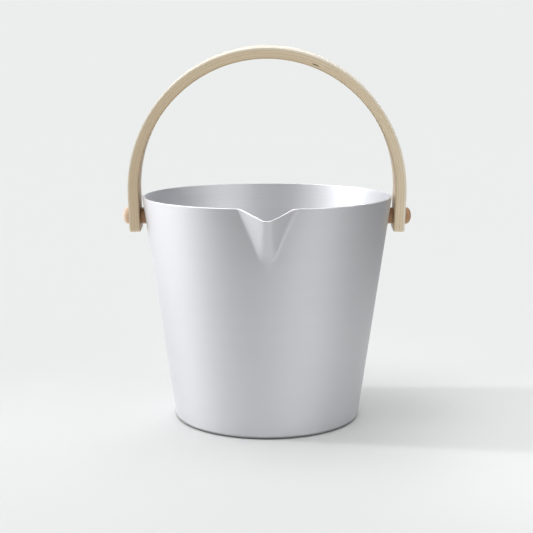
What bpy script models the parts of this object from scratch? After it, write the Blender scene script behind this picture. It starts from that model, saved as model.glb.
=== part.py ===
"""Sauna bucket: a tapered vessel spun from aluminium sheet, with a pouring spout pressed out of its
rim, under a bow of four glued bamboo plies that swings on two turned wooden pegs.

Metres, +Z up. The vessel stands on z = 0 with its axis on Z, and the spout points to -Y.
"""

import math

import bmesh
import bpy
from mathutils import Vector

# Vessel, at the outer face of its sheet. The base radius is where the wall's line meets the floor.
RIM_RADIUS = 0.115
BASE_RADIUS = 0.0862
VESSEL_HEIGHT = 0.2074
SHEET = 0.002
CORNER_RADIUS = 0.003
RIM_EASE = 0.0004

# Spout, pressed out of the wall at the rim
SPOUT_REACH = 0.017
SPOUT_HALF_WIDTH = 0.0239
SPOUT_LENGTH = 0.0448
SPOUT_DIP = 0.008
SPOUT_NOSE_HALF_WIDTH = 0.0047
SPOUT_TOE_HALF_WIDTH = 0.0098
SPOUT_BLEND = 0.0015
SPOUT_SHOULDER_BLEND = 0.0032
SPOUT_SHOULDER_SKEW = 0.35

# Hollow that pressing the spout draws into the wall around it
HOLLOW_DEPTH = 0.0045
HOLLOW_HALF_WIDTH = 0.034
HOLLOW_LENGTH = 0.08

# Bow handle: an elliptical arch that runs out into straight legs
BOW_RISE = 0.1265
BOW_CENTRE_ABOVE_PIVOT = 0.02335
BOW_WIDTH = 0.026
BOW_EDGE_EASE = 0.001
PLY_THICKNESS = 0.0025
PLY_COUNT = 4
LEG_BELOW_PIVOT = 0.0133
LEG_LEAN = math.radians(1.1)
LEG_CORNER_RADIUS = 0.004
HANDLE_LEAN = math.radians(6.0)

# Pivots: a wooden peg and spacer each, held by a screw from inside the vessel
PIVOT_BELOW_RIM = 0.0189
PEG_HEAD_RADIUS = 0.0077
PEG_EDGE_HEIGHT = 0.0016
PEG_DOME_HEIGHT = 0.0046
PEG_SHANK_RADIUS = 0.005
PEG_SOLID_END = 0.0058
SPACER_RADIUS = 0.0075
SPACER_LENGTH = 0.0038
TURNED_EASE = 0.0004
SCREW_RADIUS = 0.0022
SCREW_POINT = 0.003
SCREW_HEAD_RADIUS = 0.0045
SCREW_HEAD_HEIGHT = 0.0028
SCREW_SOCKET_RADIUS = 0.0017
SCREW_SOCKET_DEPTH = 0.0016
WASHER_RADIUS = 0.006
WASHER_THINNEST = 0.0012

# Clearances
PEG_CLEARANCE = 0.0003
SCREW_CLEARANCE = 0.0003
SIDE_PLAY = 0.0003
SEAT_GAP = 0.0003

# Fineness of the round shapes
WALL_STEPS = 72
SPOUT_STEPS = 32
SPOUT_ROWS = 14
CORNER_STEPS = 4
ARCH_STEPS = 64
TURNED_STEPS = 40
DOME_STEPS = 6
EASE_STEPS = 2

# Sizes that follow from those above
TAPER = math.atan((RIM_RADIUS - BASE_RADIUS) / VESSEL_HEIGHT)
PIVOT_HEIGHT = VESSEL_HEIGHT - PIVOT_BELOW_RIM
BOW_THICKNESS = PLY_THICKNESS * PLY_COUNT


def wall_radius(height, inward=0.0):
    """Radius of the cone that lies a distance inward from the sheet's outer face."""
    return BASE_RADIUS + height * math.tan(TAPER) - inward / math.cos(TAPER)


# Places along a pivot's axis, as distances from the vessel's axis
LEG_SPREAD = max(PEG_HEAD_RADIUS, SPACER_RADIUS) * math.tan(LEG_LEAN)
SPACER_FACE = wall_radius(PIVOT_HEIGHT) + SEAT_GAP + SPACER_LENGTH
LEG_INNER_FACE = SPACER_FACE + SIDE_PLAY + LEG_SPREAD
LEG_CENTRE = LEG_INNER_FACE + BOW_THICKNESS / 2 / math.cos(LEG_LEAN)
LEG_OUTER_FACE = LEG_INNER_FACE + BOW_THICKNESS / math.cos(LEG_LEAN)
PEG_HEAD_FACE = LEG_OUTER_FACE + LEG_SPREAD + SIDE_PLAY
PEG_CROWN = PEG_HEAD_FACE + PEG_EDGE_HEIGHT + PEG_DOME_HEIGHT
WASHER_FACE = wall_radius(PIVOT_HEIGHT - WASHER_RADIUS, SHEET + SEAT_GAP) - WASHER_THINNEST
SCREW_HEAD_FACE = WASHER_FACE - SEAT_GAP
SCREW_END = PEG_CROWN - PEG_SOLID_END - SEAT_GAP

# The arch turns past a quarter ellipse, to the point where it runs in line with the leg. Its half
# span is the one that brings the leg's centre to the pivot.
BOW_HALF_SPAN = LEG_CENTRE + BOW_CENTRE_ABOVE_PIVOT * math.tan(LEG_LEAN)
ARCH_END = math.pi / 2 + math.atan(BOW_RISE / BOW_HALF_SPAN * math.tan(LEG_LEAN))


def make_material(name, colour, roughness, metallic=0.0):
    material = bpy.data.materials.new(name)
    material.use_nodes = True
    shader = material.node_tree.nodes["Principled BSDF"]
    shader.inputs["Base Color"].default_value = (*colour, 1.0)
    shader.inputs["Roughness"].default_value = roughness
    shader.inputs["Metallic"].default_value = metallic
    return material


def make_object(name, bm, material, parent=None):
    """Turns a closed bmesh into an object, smooth but for its sharp edges."""
    bmesh.ops.recalc_face_normals(bm, faces=bm.faces)
    mesh = bpy.data.meshes.new(name)
    bm.to_mesh(mesh)
    bm.free()
    mesh.shade_smooth()
    mesh.set_sharp_from_angle(angle=math.radians(35))
    if material:
        mesh.materials.append(material)
    obj = bpy.data.objects.new(name, mesh)
    obj.parent = parent
    bpy.context.collection.objects.link(obj)
    return obj


def make_cutter(name, bm, parent=None):
    cutter = make_object(name, bm, None, parent)
    cutter.display_type = "WIRE"
    cutter.hide_render = True
    return cutter


def cut(obj, cutter, operation="DIFFERENCE"):
    modifier = obj.modifiers.new(cutter.name, "BOOLEAN")
    modifier.operation = operation
    modifier.object = cutter
    modifier.solver = "EXACT"


def turned(profile, ring=False):
    """Spins a profile of (radius, distance along the axis) points round local Z.

    An open profile starts and ends on the axis. A ring's profile closes on itself.
    """
    bm = bmesh.new()
    verts = [bm.verts.new((radius, 0, along)) for radius, along in profile]
    edges = [bm.edges.new(pair) for pair in zip(verts, verts[1:])]
    if ring:
        edges.append(bm.edges.new((verts[-1], verts[0])))
    bmesh.ops.spin(
        bm,
        geom=verts + edges,
        cent=(0, 0, 0),
        axis=(0, 0, 1),
        angle=2 * math.pi,
        steps=TURNED_STEPS,
        use_merge=True,
    )
    bmesh.ops.remove_doubles(bm, verts=bm.verts, dist=1e-6)
    return bm


def rod(radius, start, end):
    return turned([(0, start), (radius, start), (radius, end), (0, end)])


def lay_across(obj, side):
    """Turns local Z to the left (-1) or the right (+1), on the pivots' axis."""
    obj.rotation_euler = (0, side * math.pi / 2, 0)
    if obj.parent is None:
        obj.location = (0, 0, PIVOT_HEIGHT)


def sheet_profile():
    """The vessel's outer face as (radius, height) points, from the base's centre to the rim."""
    centre = BASE_RADIUS - CORNER_RADIUS * (1 - math.sin(TAPER)) / math.cos(TAPER)
    points = [(0, 0)]
    for step in range(CORNER_STEPS + 1):
        angle = (math.pi / 2 - TAPER) * step / CORNER_STEPS - math.pi / 2
        height = CORNER_RADIUS * (1 + math.sin(angle))
        points.append((centre + CORNER_RADIUS * math.cos(angle), height))
    spout_zone = (SPOUT_LENGTH + SPOUT_BLEND) * math.cos(TAPER)
    for row in range(SPOUT_ROWS + 1):
        height = VESSEL_HEIGHT - spout_zone * (1 - row / SPOUT_ROWS)
        points.append((wall_radius(height), height))
    return points


def hollow_depth(across, down):
    """How far the wall sinks around the spout, fading out sideways and downwards."""
    sideways = math.exp(-((across / HOLLOW_HALF_WIDTH) ** 2))
    return HOLLOW_DEPTH * sideways * max(1 - down / HOLLOW_LENGTH, 0) ** 2


def spout_height(across, down):
    """How far the spout stands out of the wall: a wedge blended into the wall's hollow, more
    softly at the shoulders and most at the right one, with a round nose that widens down to the
    toe."""
    hollow = hollow_depth(across, down)
    foot = hollow_depth(SPOUT_HALF_WIDTH, 0)
    flank = (SPOUT_REACH + foot) / (SPOUT_HALF_WIDTH - SPOUT_NOSE_HALF_WIDTH / 2)
    widening = SPOUT_TOE_HALF_WIDTH - SPOUT_NOSE_HALF_WIDTH
    nose = SPOUT_NOSE_HALF_WIDTH + widening * (down / SPOUT_LENGTH) ** 2
    beside = abs(across)
    if beside < nose:
        fall = flank * beside**2 / (2 * nose)
    else:
        fall = flank * (beside - nose / 2)
    wedge = SPOUT_REACH * (1 - down / SPOUT_LENGTH) - fall + hollow
    shoulder = SPOUT_SHOULDER_BLEND * (1 + SPOUT_SHOULDER_SKEW * across / SPOUT_HALF_WIDTH)
    blend = shoulder + (SPOUT_BLEND - shoulder) * min(down / SPOUT_LENGTH, 1)
    if wedge >= blend:
        return wedge - hollow
    if wedge <= -blend:
        return -hollow
    return (wedge + blend) ** 2 / (4 * blend) - hollow


def make_vessel(material):
    """The sheet's outer face, spun in two parts so that the spout gets the finer one."""
    sector = 2.7 * SPOUT_HALF_WIDTH / RIM_RADIUS
    start = -math.pi / 2 - sector / 2
    bm = bmesh.new()
    verts = []
    for radius, height in sheet_profile():
        verts.append(bm.verts.new((radius * math.cos(start), radius * math.sin(start), height)))
    edges = [bm.edges.new(pair) for pair in zip(verts, verts[1:])]
    geometry = verts + edges
    for angle, steps in ((sector, SPOUT_STEPS), (2 * math.pi - sector, WALL_STEPS)):
        spun = bmesh.ops.spin(
            bm,
            geom=geometry,
            cent=(0, 0, 0),
            axis=(0, 0, 1),
            angle=angle,
            steps=steps,
        )
        geometry = spun["geom_last"]
    bmesh.ops.remove_doubles(bm, verts=bm.verts, dist=1e-6)
    slope = SPOUT_DIP / (SPOUT_REACH + HOLLOW_DEPTH)
    for vert in bm.verts:
        if vert.co.y < 0:
            down = (VESSEL_HEIGHT - vert.co.z) / math.cos(TAPER)
            height = spout_height(vert.co.x, down)
            hollow = hollow_depth(vert.co.x, down)
            vert.co += Vector((0, -height, -(height + hollow) * slope))
    vessel = make_object("vessel", bm, material)
    if vessel.data.polygons[0].normal.z > 0:
        vessel.data.flip_normals()
    wall = vessel.modifiers.new("sheet", "SOLIDIFY")
    wall.thickness = SHEET
    wall.offset = -1
    wall.use_even_offset = True
    ease = vessel.modifiers.new("rim", "BEVEL")
    ease.width = RIM_EASE
    ease.segments = 1
    ease.limit_method = "ANGLE"
    ease.angle_limit = math.radians(60)
    return vessel


def bow_rail(offset):
    """Points (x, z) along the bow, a distance outward from its centreline, from leg to leg."""
    arch = []
    for step in range(ARCH_STEPS + 1):
        turn = ARCH_END * (2 * step / ARCH_STEPS - 1)
        point = Vector((BOW_HALF_SPAN * math.sin(turn), BOW_RISE * math.cos(turn)))
        normal = Vector((BOW_RISE * math.sin(turn), BOW_HALF_SPAN * math.cos(turn))).normalized()
        arch.append(point + normal * offset + Vector((0, BOW_CENTRE_ABOVE_PIVOT)))
    legs = []
    for side in (-1, 1):
        end = Vector((side * (LEG_CENTRE - LEG_BELOW_PIVOT * math.tan(LEG_LEAN)), -LEG_BELOW_PIVOT))
        legs.append(end + Vector((side * math.cos(LEG_LEAN), -math.sin(LEG_LEAN))) * offset)
    return [legs[0]] + arch + [legs[1]]


def ease_skin(bm, facing):
    """Rounds the edges round the bow's outer (+1) or inner (-1) face."""
    bm.normal_update()
    skin = set()
    for face in bm.faces:
        middle = face.calc_center_median()
        outward = Vector((middle.x, 0, middle.z - BOW_CENTRE_ABOVE_PIVOT)).normalized()
        if facing * face.normal.dot(outward) > 0.7:
            skin.add(face)
    arris = [edge for edge in bm.edges if len(skin.intersection(edge.link_faces)) == 1]
    round_edges(bm, arris, BOW_EDGE_EASE, EASE_STEPS)


def round_edges(bm, edges, radius, steps):
    bmesh.ops.bevel(
        bm,
        geom=edges,
        offset=radius,
        offset_type="OFFSET",
        segments=steps,
        profile=0.5,
        affect="EDGES",
        material=-1,
    )


def make_ply(number, material, pivot):
    """One strip of the bow, number 1 the innermost, drawn flat and extruded to the bow's width."""
    inner = bow_rail((number - 1) * PLY_THICKNESS - BOW_THICKNESS / 2)
    outer = bow_rail(number * PLY_THICKNESS - BOW_THICKNESS / 2)
    bm = bmesh.new()
    front = -BOW_WIDTH / 2
    edge = bm.edges.new([bm.verts.new((point.x, front, point.y)) for point in (inner[0], outer[0])])
    for below, above in zip(inner[1:], outer[1:]):
        drawn = bmesh.ops.extrude_edge_only(bm, edges=[edge])["geom"]
        edge = next(item for item in drawn if isinstance(item, bmesh.types.BMEdge))
        for vert, point in zip(edge.verts, (below, above)):
            vert.co = (point.x, front, point.y)
    strip = bmesh.ops.extrude_face_region(bm, geom=bm.faces[:])["geom"]
    back = [item for item in strip if isinstance(item, bmesh.types.BMVert)]
    bmesh.ops.translate(bm, verts=back, vec=(0, BOW_WIDTH, 0))
    bmesh.ops.recalc_face_normals(bm, faces=bm.faces)
    corners = []
    for edge in bm.edges:
        first, second = edge.verts
        if max(first.co.z, second.co.z) < 0 and abs(first.co.y - second.co.y) < BOW_WIDTH / 2:
            corners.append(edge)
    round_edges(bm, corners, LEG_CORNER_RADIUS, 2 * EASE_STEPS)
    if number == 1:
        ease_skin(bm, -1)
    if number == PLY_COUNT:
        ease_skin(bm, 1)
    return make_object(f"bow_ply_{number}", bm, material, pivot)


def make_peg(name, material):
    """A domed head, a shank for the bow to swing on, and a blind bore for the screw."""
    bore = SCREW_RADIUS + SCREW_CLEARANCE
    bore_end = SCREW_END + SEAT_GAP
    start = SPACER_FACE + SEAT_GAP
    profile = [(0, bore_end), (bore, bore_end), (bore, start)]
    profile += [(PEG_SHANK_RADIUS, start), (PEG_SHANK_RADIUS, PEG_HEAD_FACE)]
    profile += [(PEG_HEAD_RADIUS - TURNED_EASE, PEG_HEAD_FACE)]
    profile += [(PEG_HEAD_RADIUS, PEG_HEAD_FACE + TURNED_EASE)]
    for step in range(DOME_STEPS + 1):
        angle = math.pi / 2 * step / DOME_STEPS
        radius = PEG_HEAD_RADIUS * math.cos(angle)
        if step == DOME_STEPS:
            radius = 0
        along = PEG_HEAD_FACE + PEG_EDGE_HEIGHT + PEG_DOME_HEIGHT * math.sin(angle)
        profile.append((radius, along))
    return make_object(name, turned(profile), material)


def make_spacer(name, material, outer_cone):
    """A turned ring between wall and leg, cut to the slope of the wall."""
    bore = SCREW_RADIUS + SCREW_CLEARANCE
    start = wall_radius(PIVOT_HEIGHT) - 2 * SPACER_RADIUS
    profile = [(bore, start), (bore, SPACER_FACE), (SPACER_RADIUS - TURNED_EASE, SPACER_FACE)]
    profile += [(SPACER_RADIUS, SPACER_FACE - TURNED_EASE), (SPACER_RADIUS, start)]
    spacer = make_object(name, turned(profile, ring=True), material)
    cut(spacer, outer_cone)
    return spacer


def make_washer(name, material, inner_cone):
    """A wedge ring, flat under the screw's head and sloped against the wall's inner face."""
    bore = SCREW_RADIUS + SCREW_CLEARANCE
    end = wall_radius(PIVOT_HEIGHT) + WASHER_RADIUS
    profile = [(bore, WASHER_FACE), (bore, end), (WASHER_RADIUS, end)]
    profile += [(WASHER_RADIUS, WASHER_FACE + TURNED_EASE), (WASHER_RADIUS - TURNED_EASE, WASHER_FACE)]
    washer = make_object(name, turned(profile, ring=True), material)
    cut(washer, inner_cone, "INTERSECT")
    return washer


def make_screw(name, material, socket):
    """A round-headed screw with a hexagonal socket. The shank stands for the thread."""
    back = SCREW_HEAD_FACE - SCREW_HEAD_HEIGHT
    flat = (SCREW_HEAD_RADIUS + SCREW_SOCKET_RADIUS) / 2
    profile = [(0, back), (flat, back)]
    for step in range(1, DOME_STEPS):
        angle = math.pi / 2 * step / DOME_STEPS
        radius = flat + (SCREW_HEAD_RADIUS - flat) * math.sin(angle)
        profile.append((radius, SCREW_HEAD_FACE - SCREW_HEAD_HEIGHT * math.cos(angle)))
    profile += [(SCREW_HEAD_RADIUS, SCREW_HEAD_FACE - TURNED_EASE)]
    profile += [(SCREW_HEAD_RADIUS, SCREW_HEAD_FACE), (SCREW_RADIUS, SCREW_HEAD_FACE)]
    profile += [(SCREW_RADIUS, SCREW_END - SCREW_POINT), (0, SCREW_END)]
    screw = make_object(name, turned(profile), material)
    cut(screw, socket)
    return screw


def make_cone(name, inward):
    """A solid cone that follows the wall, a distance inward from the sheet's outer face."""
    below = -VESSEL_HEIGHT / 10
    above = VESSEL_HEIGHT * 1.1
    bm = bmesh.new()
    bmesh.ops.create_cone(
        bm,
        cap_ends=True,
        segments=WALL_STEPS + WALL_STEPS // 9,
        radius1=wall_radius(below, inward),
        radius2=wall_radius(above, inward),
        depth=above - below,
    )
    bmesh.ops.translate(bm, verts=bm.verts, vec=(0, 0, (above + below) / 2))
    return make_cutter(name, bm)


def make_socket(name):
    """The hexagonal key's space in a screw's head."""
    back = SCREW_HEAD_FACE - SCREW_HEAD_HEIGHT
    bm = bmesh.new()
    bmesh.ops.create_cone(
        bm,
        cap_ends=True,
        segments=6,
        radius1=SCREW_SOCKET_RADIUS,
        radius2=SCREW_SOCKET_RADIUS,
        depth=2 * SCREW_SOCKET_DEPTH,
    )
    bmesh.ops.translate(bm, verts=bm.verts, vec=(0, 0, back))
    return make_cutter(name, bm)


def main():
    for obj in list(bpy.data.objects):
        bpy.data.objects.remove(obj)

    aluminium = make_material("satin_aluminium", (0.62, 0.63, 0.65), 0.38, 1.0)
    bamboo = make_material("pale_bamboo", (0.66, 0.53, 0.37), 0.5)
    redwood = make_material("turned_redwood", (0.42, 0.2, 0.11), 0.45)
    steel = make_material("stainless_steel", (0.6, 0.6, 0.6), 0.3, 1.0)
    rubber = make_material("seal_rubber", (0.05, 0.05, 0.05), 0.7)

    outer_cone = make_cone("wall_outside", -SEAT_GAP)
    inner_cone = make_cone("wall_inside", SHEET + SEAT_GAP)

    vessel = make_vessel(aluminium)
    reach = PEG_CROWN
    screw_holes = make_cutter("screw_holes", rod(SCREW_RADIUS + SCREW_CLEARANCE, -reach, reach))
    lay_across(screw_holes, 1)
    cut(vessel, screw_holes)

    handle_pivot = bpy.data.objects.new("handle_pivot", None)
    handle_pivot.location = (0, 0, PIVOT_HEIGHT)
    handle_pivot.rotation_euler = (HANDLE_LEAN, 0, 0)
    bpy.context.collection.objects.link(handle_pivot)
    bores = rod(PEG_SHANK_RADIUS + PEG_CLEARANCE, -reach, reach)
    peg_bores = make_cutter("peg_bores", bores, handle_pivot)
    lay_across(peg_bores, 1)
    for number in range(1, PLY_COUNT + 1):
        ply = make_ply(number, bamboo, handle_pivot)
        cut(ply, peg_bores)

    for side, word in ((-1, "left"), (1, "right")):
        socket = make_socket(f"socket_{word}")
        peg = make_peg(f"peg_{word}", redwood)
        spacer = make_spacer(f"spacer_{word}", redwood, outer_cone)
        screw = make_screw(f"screw_{word}", steel, socket)
        washer = make_washer(f"seal_washer_{word}", rubber, inner_cone)
        for piece in (socket, peg, spacer, screw, washer):
            lay_across(piece, side)


main()
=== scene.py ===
from math import atan, copysign, cos, exp, pi, radians, sin, sqrt, tan

import bmesh
import bpy
import numpy as np
from bpy.props import FloatProperty, FloatVectorProperty, IntProperty, PointerProperty
from mathutils import Matrix, Vector


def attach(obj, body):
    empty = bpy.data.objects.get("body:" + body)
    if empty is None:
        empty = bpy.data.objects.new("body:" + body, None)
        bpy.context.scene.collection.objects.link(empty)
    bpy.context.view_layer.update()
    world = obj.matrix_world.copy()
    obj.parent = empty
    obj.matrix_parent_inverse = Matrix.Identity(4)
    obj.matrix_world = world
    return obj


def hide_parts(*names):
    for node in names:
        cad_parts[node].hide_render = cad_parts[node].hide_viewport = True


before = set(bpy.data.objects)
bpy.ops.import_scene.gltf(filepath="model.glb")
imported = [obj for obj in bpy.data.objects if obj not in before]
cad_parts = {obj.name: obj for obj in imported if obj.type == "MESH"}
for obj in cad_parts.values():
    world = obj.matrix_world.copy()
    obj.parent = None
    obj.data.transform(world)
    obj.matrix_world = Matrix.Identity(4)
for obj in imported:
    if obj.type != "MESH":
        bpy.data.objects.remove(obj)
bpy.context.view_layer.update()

bl_info = {
    "name": "Sauna bucket",
    "version": (1, 0, 0),
    "blender": (4, 5, 0),
    "location": "3D View > Sidebar > Sauna bucket",
    "description": "A spun aluminium bucket with a spout, under a bow handle of glued bamboo",
    "category": "Add Mesh",
}

PHOTO_PIXELS = 533
SENSOR_WIDTH = 36.0
SIDES = ((-1, "left"), (1, "right"))
BLACK = (0, 0, 0)

# Distance for welding, and the angles from which edges are drawn sharp or rounded.
WELD = 1e-6
SHARP_ANGLE = radians(35)
RIM_ANGLE = radians(60)
# Steps of small curves, rings of the base, sides of the key's socket, and rows of plain wall.
EASE_STEPS = 4
BASE_RINGS = 6
CORNER_STEPS = 8
DOME_STEPS = 18
SCREW_DOME_STEPS = 14
SOCKET_SIDES = 6
PLAIN_ROWS = 18
# Width of the finer sector with the spout, in half widths of the spout.
SPOUT_SECTOR = 2.7
# From this cosine on, a face looks out of the bow's outer or inner side.
SKIN_FACING = 0.7
# How much further along its grain each next strip starts.
STRIP_SHIFT = 2.0
# The dark fleck's place: along the bow from its crown, and up from its inner face.
MARK_ALONG = 0.0449
MARK_UP = 0.0029
# Spun sheet: spacing and contrast of its lines, how much painted shade darkens it upwards, and
# roughness.
SATIN_OUTSIDE = (0.0006, 0.012, 0.025, 0.515)
SATIN_INSIDE = (0.0014, 0.03, 0.0, 0.48)

STUDIO_SIDES = 96
FLOOR_RADIUS = 40.0
# Distances between which the floor goes over into the backdrop.
HORIZON = (1.2, 5.0)
# Painted light and shadow on the floor, in paler and darker places: centre, inner and outer radius,
# and brightness.
FLOOR_PAINTED_LIGHT = (
    ((0.32, -0.12, 0), 0.1, 0.3, 1.09),
    ((0, -0.15, 0), 0.02, 0.13, 1.05),
    ((0.13, 0.01, 0), 0.01, 0.08, 0.95),
)
# Azimuth from the left round by the back, elevation and spread in degrees, and strength.
LAMPS = {
    "key": (4.5, 26, 5, 0.86),
    "overhead": (0, 88, 70, 1.57),
    "left": (0, 60, 60, 0.55),
    "right": (180, 60, 60, 0.10),
    "back": (90, 38, 50, 0.46),
    "front": (-135, 30, 50, 0.42),
}
# The tent's brightness between its panels. A panel begins with its azimuth in degrees, from the
# camera's side to the right, and ends with its brightness. Between these a low one has its
# narrowness, and a high one its half width and its edges' softness.
TENT_LOW = 0.10
TENT_HIGH = 0.28
LOW_PANELS = ((-103, 2.5, 1.40), (27, 6.0, 0.60), (125, 6.0, 0.10), (180, 6.0, 0.85))
HIGH_PANELS = ((-98, 50, 10, 1.78), (72, 34, 8, 0.62), (180, 26, 8, 0.50))
# Heights between which the low panels go over into the high ones, and the cloth's tint.
TENT_STEP = (0.27, 0.46)
TENT_TINT = (0.985, 0.99, 1.0)


# Settings


def size(name, default, description, least=0):
    return FloatProperty(
        name=name, description=description, default=default, min=least, precision=5, unit="LENGTH"
    )


def turn(name, degrees, description):
    default = radians(degrees)
    return FloatProperty(name=name, description=description, default=default, unit="ROTATION")


def amount(name, default, description):
    return FloatProperty(name=name, description=description, default=default, min=0)


def count(name, default, description):
    return IntProperty(name=name, description=description, default=default, min=1)


def colour(name, default, description):
    return FloatVectorProperty(
        name=name, description=description, default=default, min=0, max=1, subtype="COLOR"
    )


class BucketVessel(bpy.types.PropertyGroup):
    """Sizes of the spun vessel and its pressed spout, at the sheet's outer face."""

    rim_radius: size("Rim radius", 0.115, "From the axis to the outside of the rim")
    base_radius: size("Base radius", 0.0862, "Where the line of the wall meets the floor")
    height: size("Height", 0.2074, "From the floor to the rim")
    sheet: size("Sheet", 0.002, "Thickness of the aluminium")
    corner_radius: size("Corner radius", 0.003, "Rounding between base and wall")
    rim_ease: size("Rim ease", 0.0003, "Rounding of the rim's two edges")
    spout_reach: size("Spout reach", 0.017, "How far the spout's lip stands out of the rim")
    spout_half_width: size("Spout half width", 0.0239, "From the spout's middle to its shoulder")
    spout_length: size("Spout length", 0.0448, "From the rim down to the spout's toe")
    spout_dip: size("Spout dip", 0.008, "How far the lip lies below the rim")
    nose_half_width: size("Nose half width", 0.0047, "Half width of the round nose at the lip")
    toe_half_width: size("Toe half width", 0.0098, "Half width of the round nose at the toe")
    spout_blend: size("Spout blend", 0.0015, "Softness of the bend between the toe and the wall")
    shoulder_blend: size("Shoulder blend", 0.0032, "Softness of the bend at the rim")
    shoulder_skew: amount("Shoulder skew", 0.35, "How much softer the right shoulder is")
    lip_thinning: amount("Lip thinning", 0.6, "How much thinner pressing makes the lip")
    hollow: size("Hollow", 0.0045, "How far pressing the spout draws in the rim")
    hollow_half_width: size("Hollow half width", 0.034, "Half width of the drawn-in part")
    hollow_length: size("Hollow length", 0.08, "From the rim down to where the hollow ends")
    wall_columns: count("Wall columns", 240, "Faces round the wall outside the spout")
    spout_columns: count("Spout columns", 96, "Faces across the spout's part of the wall")
    spout_rows: count("Spout rows", 60, "Faces down the spout")

    @property
    def taper(self):
        return atan((self.rim_radius - self.base_radius) / self.height)

    def wall_radius(self, height, inward=0.0):
        """Radius of the cone that lies a distance inward from the sheet's outer face."""
        return self.base_radius + height * tan(self.taper) - inward / cos(self.taper)

    def hollow_depth(self, across, down):
        """How far the wall sinks around the spout, fading out sideways and downwards."""
        sideways = exp(-((across / self.hollow_half_width) ** 2))
        return self.hollow * sideways * max(1 - down / self.hollow_length, 0) ** 2

    def spout_height(self, across, down):
        """How far the spout stands out of the wall: a wedge blended into the hollow, most softly at
        the right shoulder, with a round nose that widens down to the toe."""
        hollow = self.hollow_depth(across, down)
        foot = self.hollow_depth(self.spout_half_width, 0)
        flank = (self.spout_reach + foot) / (self.spout_half_width - self.nose_half_width / 2)
        lowness = down / self.spout_length
        widening = self.toe_half_width - self.nose_half_width
        nose = self.nose_half_width + widening * lowness**2
        beside = abs(across)
        if beside < nose:
            fall = flank * beside**2 / (2 * nose)
        else:
            fall = flank * (beside - nose / 2)
        wedge = self.spout_reach * (1 - lowness) - fall + hollow
        shoulder = self.shoulder_blend * (1 + self.shoulder_skew * across / self.spout_half_width)
        blend = shoulder + (self.spout_blend - shoulder) * min(lowness, 1)
        if wedge >= blend:
            return wedge - hollow
        if wedge <= -blend:
            return -hollow
        return (wedge + blend) ** 2 / (4 * blend) - hollow


class BucketPivots(bpy.types.PropertyGroup):
    """Sizes of the pegs the bow swings on, and of what holds them."""

    below_rim: size("Below the rim", 0.0189, "From the rim down to the pivots' axis")
    head_radius: size("Peg head radius", 0.0077, "Radius of the peg's domed head")
    head_edge: size("Peg head edge", 0.0016, "Straight edge under the dome")
    dome: size("Dome", 0.0046, "Height of the dome")
    shank_radius: size("Shank radius", 0.005, "Radius of the peg in the bow's bore")
    solid_end: size("Solid end", 0.0058, "Wood between the screw's bore and the crown")
    spacer_radius: size("Spacer radius", 0.0075, "Radius of the ring between wall and leg")
    spacer_length: size("Spacer length", 0.0038, "Length of that ring on the axis")
    ease: size("Turned ease", 0.0004, "Rounding of the turned edges")
    screw_radius: size("Screw radius", 0.0022, "Radius of the screw's shank")
    screw_point: size("Screw point", 0.003, "Length of the screw's point")
    screw_head_radius: size("Screw head radius", 0.0045, "Radius of the screw's head")
    screw_head_height: size("Screw head height", 0.0028, "Height of the screw's head")
    socket_radius: size("Socket radius", 0.0017, "Radius over the corners of the key's socket")
    socket_depth: size("Socket depth", 0.0016, "Depth of the key's socket")
    washer_radius: size("Washer radius", 0.006, "Radius of the sealing washer")
    washer_thinnest: size("Washer thinnest", 0.0012, "Thickness of the washer's thin side")
    play: size("Play", 0.0003, "Round pegs and screws, and beside the bow's legs")
    seat_gap: size("Seat gap", 0.0003, "Between parts that are drawn together")
    steps: count("Turned steps", 96, "Faces round a turned piece")

    @property
    def screw_bore(self):
        return self.screw_radius + self.play


class BucketBow(bpy.types.PropertyGroup):
    """Sizes of the bow, an elliptical arch that runs out into straight legs."""

    rise: size("Rise", 0.1265, "Height of the arch's centreline")
    centre_above_pivot: size("Centre above pivot", 0.02335, "From the pivots to the arch's centre")
    width: size("Width", 0.026, "Width of the strips")
    ease: size("Edge ease", 0.001, "Rounding of the bow's long edges")
    ply: size("Strip thickness", 0.0025, "Thickness of one strip")
    plies: count("Strips", 4, "Number of glued strips")
    leg_below_pivot: size("Leg below pivot", 0.0133, "From the pivots to the leg's end")
    leg_lean: turn("Leg lean", 1.1, "How far a leg leans inward towards its end")
    leg_corner: size("Leg corner", 0.004, "Rounding of the leg's end in side view")
    lean: turn("Lean", 6.0, "How far the bow leans forward from upright")
    steps: count("Arch steps", 160, "Faces along the arch")

    @property
    def thickness(self):
        return self.ply * self.plies


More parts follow.
